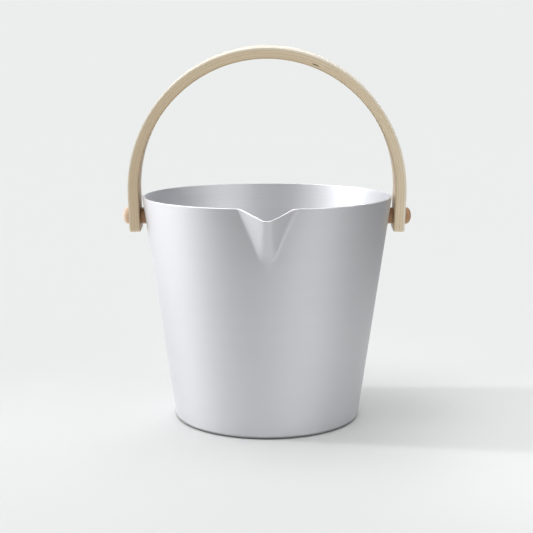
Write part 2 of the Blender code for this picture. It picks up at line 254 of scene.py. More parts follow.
class BucketFinish(bpy.types.PropertyGroup):
    """Colours of the bucket's materials."""

    # Painted light: the inside is a paler, bluer copy of the same aluminium.
    aluminium_inside_painted_light: colour("Aluminium inside", (0.742, 0.75, 0.778), "Inside of the vessel")
    aluminium: colour("Aluminium", (0.7, 0.698, 0.72), "Satin sheet of the vessel")
    bamboo_pale: colour("Pale bamboo", (1.0, 0.87, 0.66), "Bamboo between its fibres")
    bamboo_dark: colour("Dark bamboo", (0.93, 0.765, 0.535), "Bamboo's darker fibres")
    # Painted highlight: a cream colour that stands in for light from above on the bow's outer face.
    bamboo_painted_highlight: colour("Bamboo skin", (1.0, 0.95, 0.86), "Cream outer face of the bow")
    # Browner wood towards the left leg. The same colour is also painted shade along the bow's inner
    # edge.
    bamboo_brown_and_edge_shade: colour("Ripe bamboo", (0.62, 0.45, 0.27), "Browner wood towards the left leg")
    # The glue colour also serves as painted shade on the bow's inner face.
    glue: colour("Glue line", (0.45, 0.31, 0.18), "Line between two strips")
    node_mark: colour("Node mark", (0.1, 0.05, 0.025), "Dark fleck in the bow's front edge")
    redwood_pale: colour("Pale redwood", (0.7, 0.42, 0.235), "Redwood between its fibres")
    redwood_dark: colour("Dark redwood", (0.46, 0.235, 0.115), "Darker fibres of pegs and spacers")
    # Painted highlight: a pale colour on the left peg's head, which faces the light.
    painted_peg_highlight: colour("Sapwood", (1.0, 0.8, 0.64), "Pale wood of the left peg's head")
    steel: colour("Steel", (0.6, 0.59, 0.57), "Screws")
    rubber: colour("Rubber", (0.028, 0.028, 0.03), "Sealing washers")


class BucketStudio(bpy.types.PropertyGroup):
    """The studio: floor, lamps, light tent and camera."""

    floor: colour("Floor", (0.8, 0.815, 0.808), "Colour of the floor")
    backdrop: colour("Backdrop", (0.838, 0.854, 0.846), "Colour that stands behind the bucket")
    sky: amount("Sky light", 0.10, "Light from all round, besides the lamps")
    lamps: amount("Lamps", 1.0, "Strength of all the lamps together")
    tent: amount("Tent", 1.0, "Brightness of the light tent that the bucket mirrors")
    tent_radius: size("Tent radius", 0.6, "From the bucket's axis to the light tent")
    tent_height: size("Tent height", 1.5, "Height of the light tent")
    focal_pixels: amount("Focal length", 1137.4, "Focal length in pixels of the photograph")
    camera_across: size("Camera across", -0.0005, "From the bucket's axis to the right", -1)
    camera_distance: size("Camera distance", 1.04949, "From the camera to the bucket's axis")
    camera_height: size("Camera height", 0.318435, "From the floor to the camera")
    camera_pitch: turn("Camera pitch", 9.63, "How far the camera looks down")


# Modelling


def change(thing, **values):
    """Sets several properties of a thing at once."""
    for name, value in values.items():
        setattr(thing, name, value)
    return thing


def smooth(mesh):
    """Shades a mesh smooth but for its sharp edges."""
    mesh.shade_smooth()
    mesh.set_sharp_from_angle(angle=SHARP_ANGLE)


def add_object(name, data):
    obj = bpy.data.objects.new(name, data)
    bpy.context.scene.collection.objects.link(obj)
    return obj


def make_object(name, bm):
    """Turns a bmesh into an object in the scene, with its faces pointing outwards."""
    bmesh.ops.recalc_face_normals(bm, faces=bm.faces)
    mesh = bpy.data.meshes.new(name)
    bm.to_mesh(mesh)
    bm.free()
    smooth(mesh)
    return add_object(name, mesh)


def cut(obj, cutter, operation="DIFFERENCE"):
    """Cuts an object with another one, which goes away, and applies all its modifiers."""
    boolean = obj.modifiers.new(cutter.name, "BOOLEAN")
    change(boolean, operation=operation, object=cutter, solver="EXACT")
    graph = bpy.context.evaluated_depsgraph_get()
    mesh = bpy.data.meshes.new_from_object(obj.evaluated_get(graph), depsgraph=graph)
    smooth(mesh)
    obj.modifiers.clear()
    spent = (obj.data, cutter.data)
    obj.data = mesh
    bpy.data.objects.remove(cutter)
    for old in spent:
        bpy.data.meshes.remove(old)


def draw_line(bm, points):
    """Joins points by edges. Gives the vertices and the edges."""
    verts = [bm.verts.new(point) for point in points]
    return verts + [bm.edges.new(pair) for pair in zip(verts, verts[1:])]


def spin(bm, geometry, angle, steps, whole=False):
    """Spins vertices and edges round Z. Gives the last ones."""
    return bmesh.ops.spin(
        bm, geom=geometry, axis=(0, 0, 1), angle=angle, steps=steps, use_merge=whole
    )["geom_last"]


def turned(name, profile, steps):
    """Turns a piece round Z from (radius, distance along the axis) points. A solid's start and
    end on the axis, and a ring's end where they start."""
    bm = bmesh.new()
    line = draw_line(bm, [(radius, 0, along) for radius, along in profile])
    spin(bm, line, 2 * pi, steps, whole=True)
    bmesh.ops.remove_doubles(bm, verts=bm.verts, dist=WELD)
    return make_object(name, bm)


def cone(name, low_radius, high_radius, low, high, sides):
    """A closed cone, cylinder or prism on Z, between two heights."""
    bm = bmesh.new()
    radii = {"radius1": low_radius, "radius2": high_radius}
    bmesh.ops.create_cone(bm, cap_ends=True, segments=sides, depth=high - low, **radii)
    bmesh.ops.translate(bm, verts=bm.verts, vec=(0, 0, (low + high) / 2))
    return make_object(name, bm)


def round_edges(bm, edges, radius, steps):
    bmesh.ops.bevel(
        bm, geom=edges, offset=radius, segments=steps, profile=0.5, affect="EDGES", material=-1
    )


def quarter_turn(steps):
    """Sines and cosines of evenly spaced angles from nought to a right angle."""
    angles = [pi / 2 * step / steps for step in range(steps + 1)]
    return [(sin(angle), cos(angle)) for angle in angles]


def eased_corner(radius, along, ease, up):
    """Profile points round an outer corner at (radius, along), from its flat to its cylinder.
    The flat faces up (1) or down (-1) along the axis."""
    return [
        (radius - ease * (1 - sine), along - up * ease * (1 - cosine))
        for sine, cosine in quarter_turn(EASE_STEPS)
    ]


def across_pivots(side, height):
    """Turns local Z to the left (-1) or the right (+1), on the pivots' axis."""
    return Matrix.Translation((0, 0, height)) @ Matrix.Rotation(side * pi / 2, 4, "Y")


# Vessel


def sheet_profile(vessel):
    """The vessel's outer face as (radius, height) points, from the base's centre to the rim."""
    corner = vessel.corner_radius
    taper = vessel.taper
    centre = vessel.base_radius - corner * (1 - sin(taper)) / cos(taper)
    points = [(centre * ring / BASE_RINGS, 0) for ring in range(BASE_RINGS)]
    for step in range(CORNER_STEPS + 1):
        angle = (pi / 2 - taper) * step / CORNER_STEPS - pi / 2
        points.append((centre + corner * cos(angle), corner * (1 + sin(angle))))
    pressed = (vessel.spout_length + 2 * vessel.spout_blend) * cos(taper)
    start = points[-1][1]
    end = vessel.height - pressed
    heights = [start + (end - start) * row / PLAIN_ROWS for row in range(1, PLAIN_ROWS)]
    rows = range(vessel.spout_rows + 1)
    heights += [end + pressed * row / vessel.spout_rows for row in rows]
    return points + [(vessel.wall_radius(height), height) for height in heights]


def make_vessel(vessel, pivots, materials):
    """The sheet's outer face, spun more finely where the spout is pressed out of it, and
    thickened inward."""
    sector = SPOUT_SECTOR * vessel.spout_half_width / vessel.rim_radius
    start = -pi / 2 - sector / 2
    cosine, sine = cos(start), sin(start)
    profile = sheet_profile(vessel)
    bm = bmesh.new()
    geometry = draw_line(bm, [(out * cosine, out * sine, height) for out, height in profile])
    geometry = spin(bm, geometry, sector, vessel.spout_columns)
    spin(bm, geometry, 2 * pi - sector, vessel.wall_columns)
    bmesh.ops.remove_doubles(bm, verts=bm.verts, dist=WELD)
    full = vessel.spout_reach + vessel.hollow
    slope = vessel.spout_dip / full
    shares = []
    for vert in bm.verts:
        stretch = 0
        if vert.co.y < 0:
            down = (vessel.height - vert.co.z) / cos(vessel.taper)
            height = vessel.spout_height(vert.co.x, down)
            stretch = height + vessel.hollow_depth(vert.co.x, down)
            vert.co += Vector((0, -height, -stretch * slope))
        shares.append(stretch / full)
    shell = make_object("vessel_shell", bm)
    for material in materials:
        shell.data.materials.append(material)
    if shell.data.polygons[0].normal.z > 0:
        shell.data.flip_normals()
    group = shell.vertex_groups.new(name="thickness")
    for index, share in enumerate(shares):
        group.add([index], 1 - vessel.lip_thinning * sqrt(share), "REPLACE")
    wall = shell.modifiers.new("sheet", "SOLIDIFY")
    change(wall, thickness=vessel.sheet, offset=-1, use_even_offset=True)
    change(wall, vertex_group=group.name, material_offset=1)
    ease = shell.modifiers.new("rim", "BEVEL")
    change(ease, width=vessel.rim_ease, segments=3, limit_method="ANGLE", angle_limit=RIM_ANGLE)
    bore, reach = pivots.screw_bore, vessel.rim_radius * 1.2
    holes = cone("screw_holes", bore, bore, -reach, reach, pivots.steps // 2)
    holes.data.transform(across_pivots(1, vessel.height - pivots.below_rim))
    cut(shell, holes)
    return shell


# Pivots


class Stations:
    """Places along a pivot's axis, as distances from the vessel's axis."""

    def __init__(self, vessel, pivots, bow):
        height = vessel.height - pivots.below_rim
        spread = max(pivots.head_radius, pivots.spacer_radius) * tan(bow.leg_lean)
        across = bow.thickness / cos(bow.leg_lean)
        washed = vessel.sheet + pivots.seat_gap
        low_wall = vessel.wall_radius(height - pivots.washer_radius, washed)
        self.height = height
        self.wall = vessel.wall_radius(height)
        self.spacer_face = self.wall + pivots.seat_gap + pivots.spacer_length
        self.leg_inner = self.spacer_face + pivots.play + spread
        self.leg_centre = self.leg_inner + across / 2
        self.head_face = self.leg_inner + across + spread + pivots.play
        self.crown = self.head_face + pivots.head_edge + pivots.dome
        self.washer_face = low_wall - pivots.washer_thinnest
        self.screw_face = self.washer_face - pivots.seat_gap
        self.screw_end = self.crown - pivots.solid_end - pivots.seat_gap


def wall_cone(name, vessel, inward):
    """A solid cone that follows the wall, a distance inward from the sheet's outer face."""
    low, high = -vessel.height / 10, vessel.height * 1.1
    radii = [vessel.wall_radius(height, inward) for height in (low, high)]
    return cone(name, *radii, low, high, vessel.wall_columns)


def make_peg(name, pivots, at):
    """A domed head, a shank for the bow to swing on, and a blind bore for the screw."""
    bore_end = at.screw_end + pivots.seat_gap
    start = at.spacer_face + pivots.seat_gap
    profile = [(0, bore_end), (pivots.screw_bore, bore_end), (pivots.screw_bore, start)]
    profile += [(pivots.shank_radius, start), (pivots.shank_radius, at.head_face)]
    profile += eased_corner(pivots.head_radius, at.head_face, pivots.ease, -1)
    for sine, cosine in quarter_turn(DOME_STEPS):
        along = at.head_face + pivots.head_edge + pivots.dome * sine
        profile.append((pivots.head_radius * cosine, along))
    return turned(name, profile, pivots.steps)


def make_ring(name, pivots, radius, face, far_end):
    """A turned ring with one finished face. The slope of the wall will cut off its far end."""
    up = copysign(1, face - far_end)
    profile = [(pivots.screw_bore, far_end), (pivots.screw_bore, face)]
    profile += eased_corner(radius, face, pivots.ease, up)
    profile += [(radius, far_end), (pivots.screw_bore, far_end)]
    return turned(name, profile, pivots.steps)


def make_screw(name, pivots, at):
    """A round-headed screw with a six-sided socket. The shank stands for the thread."""
    back = at.screw_face - pivots.screw_head_height
    flat = (pivots.screw_head_radius + pivots.socket_radius) / 2
    profile = [(0, back)]
    for sine, cosine in quarter_turn(SCREW_DOME_STEPS):
        radius = flat + (pivots.screw_head_radius - flat) * sine
        profile.append((radius, at.screw_face - pivots.screw_head_height * cosine))
    profile += [(pivots.screw_radius, at.screw_face)]
    profile += [(pivots.screw_radius, at.screw_end - pivots.screw_point), (0, at.screw_end)]
    screw = turned(name, profile, pivots.steps)
    radius, depth = pivots.socket_radius, pivots.socket_depth
    cut(screw, cone("key_socket", radius, radius, back - depth, back + depth, SOCKET_SIDES))
    return screw


# Bow


def bow_rail(bow, at, offset):
    """Points (x, z) along the bow, a distance outward from its centreline, from leg to leg."""
    lean = bow.leg_lean
    half_span = at.leg_centre + bow.centre_above_pivot * tan(lean)
    end_angle = pi / 2 + atan(bow.rise / half_span * tan(lean))
    arch = []
    for step in range(bow.steps + 1):
        angle = end_angle * (2 * step / bow.steps - 1)
        point = Vector((half_span * sin(angle), bow.rise * cos(angle)))
        normal = Vector((bow.rise * sin(angle), half_span * cos(angle))).normalized()
        arch.append(point + normal * offset + Vector((0, bow.centre_above_pivot)))
    across = at.leg_centre - bow.leg_below_pivot * tan(lean) + offset * cos(lean)
    end = -bow.leg_below_pivot - offset * sin(lean)
    return [Vector((-across, end)), *arch, Vector((across, end))]


def ease_skin(bm, bow, facing):
    """Rounds the edges round the bow's outer (1) or inner (-1) face."""
    bm.normal_update()
    skin = set()
    for face in bm.faces:
        middle = face.calc_center_median()
        outward = Vector((middle.x, 0, middle.z - bow.centre_above_pivot)).normalized()
        if facing * face.normal.dot(outward) > SKIN_FACING:
            skin.add(face)
    arris = [edge for edge in bm.edges if len(skin.intersection(edge.link_faces)) == 1]
    round_edges(bm, arris, bow.ease, EASE_STEPS)


def lay_grain(mesh, bow, at, number):
    """Stores each point's place in the wood: along the strip, across it, and up from the bow's
    inner face. Each strip's length starts elsewhere, so that no two look the same."""
    rail = np.array([tuple(point) for point in bow_rail(bow, at, 0)])
    steps = np.diff(rail, axis=0)
    lengths = np.hypot(*steps.T)
    starts = np.cumsum(lengths) - lengths
    shift = number * STRIP_SHIFT - lengths.sum() / 2
    tangents = steps / lengths[:, None]
    grain = []
    for vert in mesh.vertices:
        offsets = np.array((vert.co.x, vert.co.z)) - rail[:-1]
        along = np.clip((offsets * tangents).sum(1), 0, lengths)
        gaps = offsets - tangents * along[:, None]
        nearest = (gaps**2).sum(1).argmin()
        tangent, offset = tangents[nearest], offsets[nearest]
        depth = tangent[0] * offset[1] - tangent[1] * offset[0]
        place = starts[nearest] + along[nearest] + shift
        grain += (place, vert.co.y, depth + bow.thickness / 2)
    layer = mesh.attributes.new("grain", "FLOAT_VECTOR", "POINT")
    layer.data.foreach_set("vector", grain)


def make_strip(number, bow, pivots, at):
    """One strip of the bow, number 1 the innermost, drawn flat and extruded to the bow's width."""
    inner = bow_rail(bow, at, (number - 1) * bow.ply - bow.thickness / 2)
    outer = bow_rail(bow, at, number * bow.ply - bow.thickness / 2)
    bm = bmesh.new()
    front = -bow.width / 2
    edge = draw_line(bm, [(point.x, front, point.y) for point in (inner[0], outer[0])])[-1]
    for below, above in zip(inner[1:], outer[1:]):
        drawn = bmesh.ops.extrude_edge_only(bm, edges=[edge])["geom"]
        edge = next(item for item in drawn if isinstance(item, bmesh.types.BMEdge))
        for vert, point in zip(edge.verts, (below, above)):
            vert.co = (point.x, front, point.y)
    strip = bmesh.ops.extrude_face_region(bm, geom=bm.faces[:])["geom"]
    back = [item for item in strip if isinstance(item, bmesh.types.BMVert)]
    bmesh.ops.translate(bm, verts=back, vec=(0, bow.width, 0))
    bmesh.ops.recalc_face_normals(bm, faces=bm.faces)
    corners = []
    for edge in bm.edges:
        first, second = (vert.co for vert in edge.verts)
        if max(first.z, second.z) < 0 and abs(first.y - second.y) < bow.width / 2:
            corners.append(edge)
    round_edges(bm, corners, bow.leg_corner, CORNER_STEPS)
    for outermost, facing in ((1, -1), (bow.plies, 1)):
        if number == outermost:
            ease_skin(bm, bow, facing)
    piece = make_object(f"bow_strip_{number}", bm)
    bore = pivots.shank_radius + pivots.play
    bores = cone("peg_bores", bore, bore, -at.crown, at.crown, pivots.steps)
    bores.data.transform(across_pivots(1, 0))
    cut(piece, bores)
    lay_grain(piece.data, bow, at, number)
    place = Matrix.Translation((0, 0, at.height)) @ Matrix.Rotation(bow.lean, 4, "X")
    piece.data.transform(place)
    return piece


# Materials


class Nodes:
    """Adds shader nodes to a tree. A value is a plain one or another node's output."""

    def __init__(self, tree):
        self.tree = tree

    def fill(self, node, values):
        """Sets inputs of a node by their names or numbers."""
        for name, value in values.items():
            socket = node.inputs[name]
            if isinstance(value, bpy.types.NodeSocket):
                self.tree.links.new(value, socket)
            elif socket.type == "RGBA":
                socket.default_value = (*value, 1.0)
            else:
                socket.default_value = value

    def place(self, kind, values, **settings):
        """Adds a node and gives its outputs."""
        node = change(self.tree.nodes.new(f"ShaderNode{kind}"), **settings)
        self.fill(node, values)
        return node.outputs

    def group(self, name, **values):
        """Adds a shared group, which is built when it is first used."""
        group = bpy.data.node_groups.get(name) or SHARED_GROUPS[name]()
        return self.place("Group", values, node_tree=group)

    def shade(self, colour, roughness, height, distance, values):
        """Fills in the Principled shader. The bump's distance is in metres."""
        bump = self.place("Bump", {"Height": height, "Distance": distance, "Strength": 1.0})[0]
        values = {"Base Color": colour, "Roughness": roughness, "Normal": bump, **values}
        self.fill(self.tree.nodes["Principled BSDF"], values)

    def spot(self):
        """The point's place in the object's own coordinates."""
        return self.place("TexCoord", {})["Object"]

    def parts(self, vector):
        return self.place("SeparateXYZ", {0: vector})

    def combine(self, x, y, z):
        return self.place("CombineXYZ", {0: x, 1: y, 2: z})[0]

    def vector(self, operation, *values):
        outputs = self.place("VectorMath", dict(enumerate(values)), operation=operation)
        return outputs["Value" if operation in ("LENGTH", "DISTANCE", "DOT_PRODUCT") else "Vector"]

    def level(self, vector):
        """The vector without its height."""
        return self.vector("MULTIPLY", vector, (1, 1, 0))

    def scaled(self, vector, factor):
        return self.place("VectorMath", {0: vector, "Scale": factor}, operation="SCALE")[0]

    def calc(self, operation, *values):
        return self.place("Math", dict(enumerate(values)), operation=operation)[0]

    def times(self, value, *factors):
        for factor in factors:
            value = self.calc("MULTIPLY", value, factor)
        return value

    def weighed(self, total, *shares):
        """Adds each of some (value, weight) pairs to a number."""
        for value, weight in shares:
            total = self.calc("MULTIPLY_ADD", value, weight, total)
        return total

    def gap(self, value, mark):
        return self.calc("ABSOLUTE", self.calc("SUBTRACT", value, mark))

    def ramp(self, value, low, high, to_low=0.0, to_high=1.0, kind="LINEAR"):
        """Carries a value from one range over to another, whose ends it doesn't pass."""
        values = dict(enumerate((value, low, high, to_low, to_high)))
        return self.place("MapRange", values, interpolation_type=kind)[0]

    def fade(self, *values):
        """A ramp that starts and ends gently."""
        return self.ramp(*values, kind="SMOOTHSTEP")

    def layered(self, colour, *layers):
        """Lays (share, colour) pairs over a colour, one after another."""
        for share, upper in layers:
            values = {0: share, 6: colour, 7: upper}
            colour = self.place("Mix", values, data_type="RGBA")[2]
        return colour

    def noise(self, vector, scale=1.0, detail=2.0, roughness=0.5):
        values = {"Vector": vector, "Scale": scale, "Detail": detail, "Roughness": roughness}
        return self.place("TexNoise", values)[0]


def new_group(name, **amounts):
    """Starts a shared group that reads a vector and some amounts. Gives its nodes and these."""
    tree = bpy.data.node_groups.new(name, "ShaderNodeTree")
    tree.interface.new_socket(name="Vector", in_out="INPUT", socket_type="NodeSocketVector")
    for label, default in amounts.items():
        socket = tree.interface.new_socket(name=label, in_out="INPUT", socket_type="NodeSocketFloat")
        socket.default_value = default
    return Nodes(tree), tree.nodes.new("NodeGroupInput").outputs


def close_group(add, **results):
    """Makes each result an output of the group."""
    tree = add.tree
    for label in results:
        tree.interface.new_socket(name=label, in_out="OUTPUT", socket_type="NodeSocketFloat")
    add.fill(tree.nodes.new("NodeGroupOutput"), results)
    return tree


def turning_lines():
    """Fine rings round Z, as a spinning or turning tool leaves them."""
    add, given = new_group("turning_lines", Spacing=0.0005, Wander=0.8)
    flat = add.level(given["Vector"])
    x, y, _ = add.parts(add.scaled(add.vector("NORMALIZE", flat), given["Wander"]))
    height = add.parts(given["Vector"])[2]
    travel = add.calc("ADD", height, add.vector("LENGTH", flat))
    fine = add.calc("DIVIDE", travel, given["Spacing"])
    lines = add.noise(add.combine(x, y, fine), detail=3.0, roughness=0.6)
    bands = add.noise(add.combine(x, y, add.times(fine, 0.09)))
    return close_group(add, Lines=lines, Bands=bands)


def long_grain():
    """Wood's long fibres, which run along the vector's X."""
    add, given = new_group("long_grain", Width=0.0004, Length=0.05)
    x, y, z = add.parts(given["Vector"])

    def stretched(wide, long, detail, roughness):
        width = add.times(given["Width"], wide)
        length = add.times(given["Length"], long)
        sizes = ((x, length), (y, width), (z, width))
        place = add.combine(*(add.calc("DIVIDE", *pair) for pair in sizes))
        return add.noise(place, detail=detail, roughness=roughness)

    specks = stretched(0.8, 0.12, 1.0, 0.5)
    return close_group(
        add,
        Fibres=stretched(1.0, 1.0, 3.0, 0.6),
        Streaks=stretched(2.4, 1.6, 2.0, 0.5),
        Pores=add.fade(specks, 0.66, 0.74),
    )


def handling():
    """Slow, cloudy unevenness of a sheen."""
    add, given = new_group("handling", Size=0.04)
    scale = add.calc("DIVIDE", 1.0, given["Size"])
    cloud = add.noise(given["Vector"], scale, detail=4.0, roughness=0.6)
    return close_group(add, Smudge=add.ramp(cloud, 0.3, 0.7))


SHARED_GROUPS = {"turning_lines": turning_lines, "long_grain": long_grain, "handling": handling}


def new_material(name):
    material = bpy.data.materials.new(name)
    material.use_nodes = True
    return material, Nodes(material.node_tree)


def toned(colour, factor):
    return [value * factor for value in colour]


def lines_on_pivot(add, spot, at, spacing, wander):
    """Turning lines round the pivots' axis."""
    values = {"Vector": spot, "Location": (0, 0, at.height), "Rotation": (0, pi / 2, 0)}
    on_axis = add.place("Mapping", values, vector_type="TEXTURE")[0]
    return add.group("turning_lines", Vector=on_axis, Spacing=spacing, Wander=wander)


def satin_aluminium(name, colour, vessel, spacing, contrast, painted_shade_upwards, roughness):
    """Spun sheet, whose rings spread reflections up and down. It is painted a little darker upwards
    and darker where the wall sinks in beside the spout, with painted shade at its foot and a
    painted highlight on the spout's left flank."""
    material, add = new_material(name)
    spot = add.spot()
    lines, bands = add.group("turning_lines", Vector=spot, Spacing=spacing, Wander=0.7)
    smudge = add.group("handling", Vector=spot, Size=0.05)[0]
    shade = add.ramp(add.weighed(lines, (bands, 0.4)), 0.45, 0.95)
    base = add.layered(toned(colour, 1 - contrast), (shade, toned(colour, 1 + contrast)))
    side, _, height = add.parts(spot)
    radius = add.vector("LENGTH", add.level(spot))
    wall = add.weighed(vessel.base_radius, (height, tan(vessel.taper)))
    stands = add.calc("SUBTRACT", radius, wall)
    # Painted light and shade: darker upwards, much darker at the foot, darker where the wall sinks
    # in beside the spout, and a painted highlight on the spout's left flank.
    left = add.ramp(side, 0.0, 0.005, 0.05, 0.0)
    tint = add.times(
        add.ramp(height, 0.0, 0.2, 1 + painted_shade_upwards, 1 - painted_shade_upwards),
        add.fade(height, 0.0012, 0.0035, 0.45, 1.0),
        add.ramp(stands, -0.003, 0.0, 0.955, 1.0),
        add.weighed(1.0, (add.ramp(stands, 0.0, 0.004), left)),
    )
    around = add.vector("NORMALIZE", add.vector("CROSS_PRODUCT", (0, 0, 1), spot))
    brushed = {"Metallic": 1.0, "Anisotropic": 0.5, "Anisotropic Rotation": 0.25, "Tangent": around}
    rough = add.weighed(roughness, (lines, 0.05), (smudge, 0.02))
    add.shade(add.scaled(base, tint), rough, lines, 0.000006, brushed)
    return material


def laminated_bamboo(finish, bow):
    """Glued strips of pale wood with long fibres, browner towards the left leg. There is a line of
    glue at each joint, and one dark fleck in the front edge, right of the crown. A painted highlight
    makes the outer face cream, and painted shade darkens the inner edge and the inner face."""
    material, add = new_material("laminated_bamboo")
    spot = add.place("Attribute", {}, attribute_name="grain")["Vector"]
    fibres, streaks, pores = add.group("long_grain", Vector=spot, Width=0.0007, Length=0.09)
    length, across, up = add.parts(spot)
    plies = add.calc("DIVIDE", up, bow.ply)
    strip = add.times(add.calc("FLOOR", plies), 7.3)
    tone_place = add.combine(add.times(length, 6.0), add.times(across, 60.0), strip)
    tone = add.noise(tone_place, detail=1.0)
    shade = add.weighed(0.0, (fibres, 0.55), (streaks, 0.8), (tone, 0.7))
    shade = add.ramp(shade, 0.72, 1.32)

    along = add.calc("WRAP", length, STRIP_SHIFT / 2, -STRIP_SHIFT / 2)
    # Browner towards the left leg and a little round the crown, paler at the right shoulder.
    browning = add.fade(along, -0.25, 0.14, 0.39, 0.0)
    browning = add.calc("ADD", browning, add.fade(add.gap(along, 0.12), 0.03, 0.12, 0.0, 0.12))

    to_joint = add.gap(plies, add.calc("ROUND", plies))
    from_skin = add.calc("MINIMUM", plies, add.calc("SUBTRACT", bow.plies, plies))
    within = add.calc("GREATER_THAN", from_skin, 0.5)
    glue = add.times(add.fade(to_joint, 0.02, 0.08, 0.45, 0.0), within)

    # Painted shade along the bow's inner edge, stronger towards the left leg.
    strength = add.ramp(along, -0.05, 0.15, 0.9, 0.5)
    painted_inner_edge_shade = add.fade(up, 0.0003, 0.0019, strength, 0.0)
    to_left = add.fade(along, -0.26, -0.12)
    # Painted highlight on the outer face, weaker towards the left leg.
    painted_outer_light = add.times(
        add.fade(up, bow.thickness - 0.0029, bow.thickness, 0.0, 0.9),
        add.ramp(shade, 0.0, 1.0, 0.45, 1.0),
        add.ramp(to_left, 0.0, 1.0, 0.2, 1.0),
    )
    # Painted shade on the bow's inner face, which faces the vessel, except towards the left leg.
    painted_inner_shade = add.ramp(up, 0.0, 0.0004, 0.7, 0.0)
    mark = add.times(
        add.fade(add.gap(along, MARK_ALONG), 0.0022, 0.0038, 1.0, 0.0),
        add.fade(add.gap(up, MARK_UP), 0.00022, 0.0006, 1.0, 0.0),
        add.calc("LESS_THAN", across, -0.35 * bow.width),
    )
    base = add.layered(
        finish.bamboo_dark,
        (shade, finish.bamboo_pale),
        (browning, finish.bamboo_brown_and_edge_shade),
        (add.times(pores, 0.35), finish.glue),
        (glue, finish.glue),
        (painted_inner_edge_shade, finish.bamboo_brown_and_edge_shade),
        (painted_outer_light, finish.bamboo_painted_highlight),
        (add.times(painted_inner_shade, add.calc("SUBTRACT", 1.0, to_left)), finish.glue),
        (mark, finish.node_mark),
    )
    rough = add.weighed(0.36, (fibres, 0.12))
    height = add.weighed(fibres, (glue, -0.8), (mark, -1.0))
    add.shade(base, rough, height, 0.00001, {"Specular IOR Level": 0.18})
    return material


def turned_redwood(finish, at):
    """Turned reddish wood, with its grain along the pivots' axis and end grain on the dome. A
    painted highlight makes the left peg's head paler, and painted shade darkens the spacers and the
    right peg."""
    material, add = new_material("turned_redwood")
    spot = add.spot()
    fibres, streaks, pores = add.group("long_grain", Vector=spot, Width=0.00035, Length=0.012)
    lines, _ = lines_on_pivot(add, spot, at, 0.0003, 0.3)
    shade = add.weighed(0.0, (fibres, 0.6), (streaks, 0.9))
    side = add.parts(spot)[0]
    # Painted highlight on the left peg's head, strongest at its crown.
    painted_peg_highlight = add.times(
        add.ramp(side, -at.crown, -at.head_face, 1.0, 0.45),
        add.ramp(side, -at.head_face, -at.leg_inner, 1.0, 0.12),
    )
    base = add.layered(
        finish.redwood_dark,
        (add.ramp(shade, 0.5, 1.0), finish.redwood_pale),
        (add.times(pores, 0.5), toned(finish.redwood_dark, 0.5)),
        (painted_peg_highlight, finish.painted_peg_highlight),
    )
    # Painted shade and light: darker spacers between wall and leg, a darker right peg, and a
    # brighter crown on the left peg.
    tone = add.times(
        add.ramp(add.calc("ABSOLUTE", side), at.spacer_face, at.leg_inner, 0.82, 0.97),
        add.ramp(side, at.leg_inner, at.head_face, 1.0, 0.92),
        add.ramp(side, -at.crown, -at.head_face, 1.18, 0.96),
    )
    rough = add.weighed(0.32, (fibres, 0.14))
    height = add.weighed(fibres, (lines, 0.4))
    oiled = {"Specular IOR Level": 0.2, "Coat Weight": 0.05, "Coat Roughness": 0.35}
    add.shade(add.scaled(base, tone), rough, height, 0.00002, oiled)
    return material


def stainless_steel(finish, at):
    """Turned screw heads, with faint rings and a smudged shine."""
    material, add = new_material("stainless_steel")
    spot = add.spot()
    lines, bands = lines_on_pivot(add, spot, at, 0.00015, 0.2)
    smudge = add.group("handling", Vector=spot, Size=0.004)[0]
    base = add.layered(toned(finish.steel, 0.88), (bands, finish.steel))
    rough = add.weighed(0.2, (smudge, 0.08))
    add.shade(base, rough, lines, 0.000004, {"Metallic": 1.0})
    return material


def seal_rubber(finish):
    """Black rubber, gritty and a little worn."""
    material, add = new_material("seal_rubber")
    spot = add.spot()
    smudge = add.group("handling", Vector=spot, Size=0.003)[0]
    base = add.layered(finish.rubber, (smudge, toned(finish.rubber, 1.7)))
    rough = add.weighed(0.6, (smudge, 0.15))
    add.shade(base, rough, add.noise(spot, 6000.0), 0.00001, {})
    return material


# Studio


def studio_floor(studio):
    """Matt paper, a little uneven in tone, with painted light and shadow in a few paler and darker
    places. It shines in the backdrop's colour far away, so that no horizon shows."""
    material, add = new_material("studio_floor")
    spot = add.spot()
    base = add.layered(toned(studio.floor, 0.99), (add.noise(spot, 1.3), studio.floor))
    # Painted light and shadow: paler right of the bucket's shadow and in front of the bucket, darker
    # in the shadow close to it.
    for centre, inner, outer, tone in FLOOR_PAINTED_LIGHT:
        away = add.vector("DISTANCE", spot, centre)
        base = add.scaled(base, add.fade(away, inner, outer, tone, 1.0))
    far = add.fade(add.vector("LENGTH", spot), *HORIZON)
    values = {
        "Base Color": add.layered(base, (far, BLACK)),
        "Emission Color": add.layered(BLACK, (far, studio.backdrop)),
        "Emission Strength": 1.0,
        "Roughness": 0.9,
        "Specular IOR Level": 0.0,
    }
    add.fill(add.tree.nodes["Principled BSDF"], values)
    return material


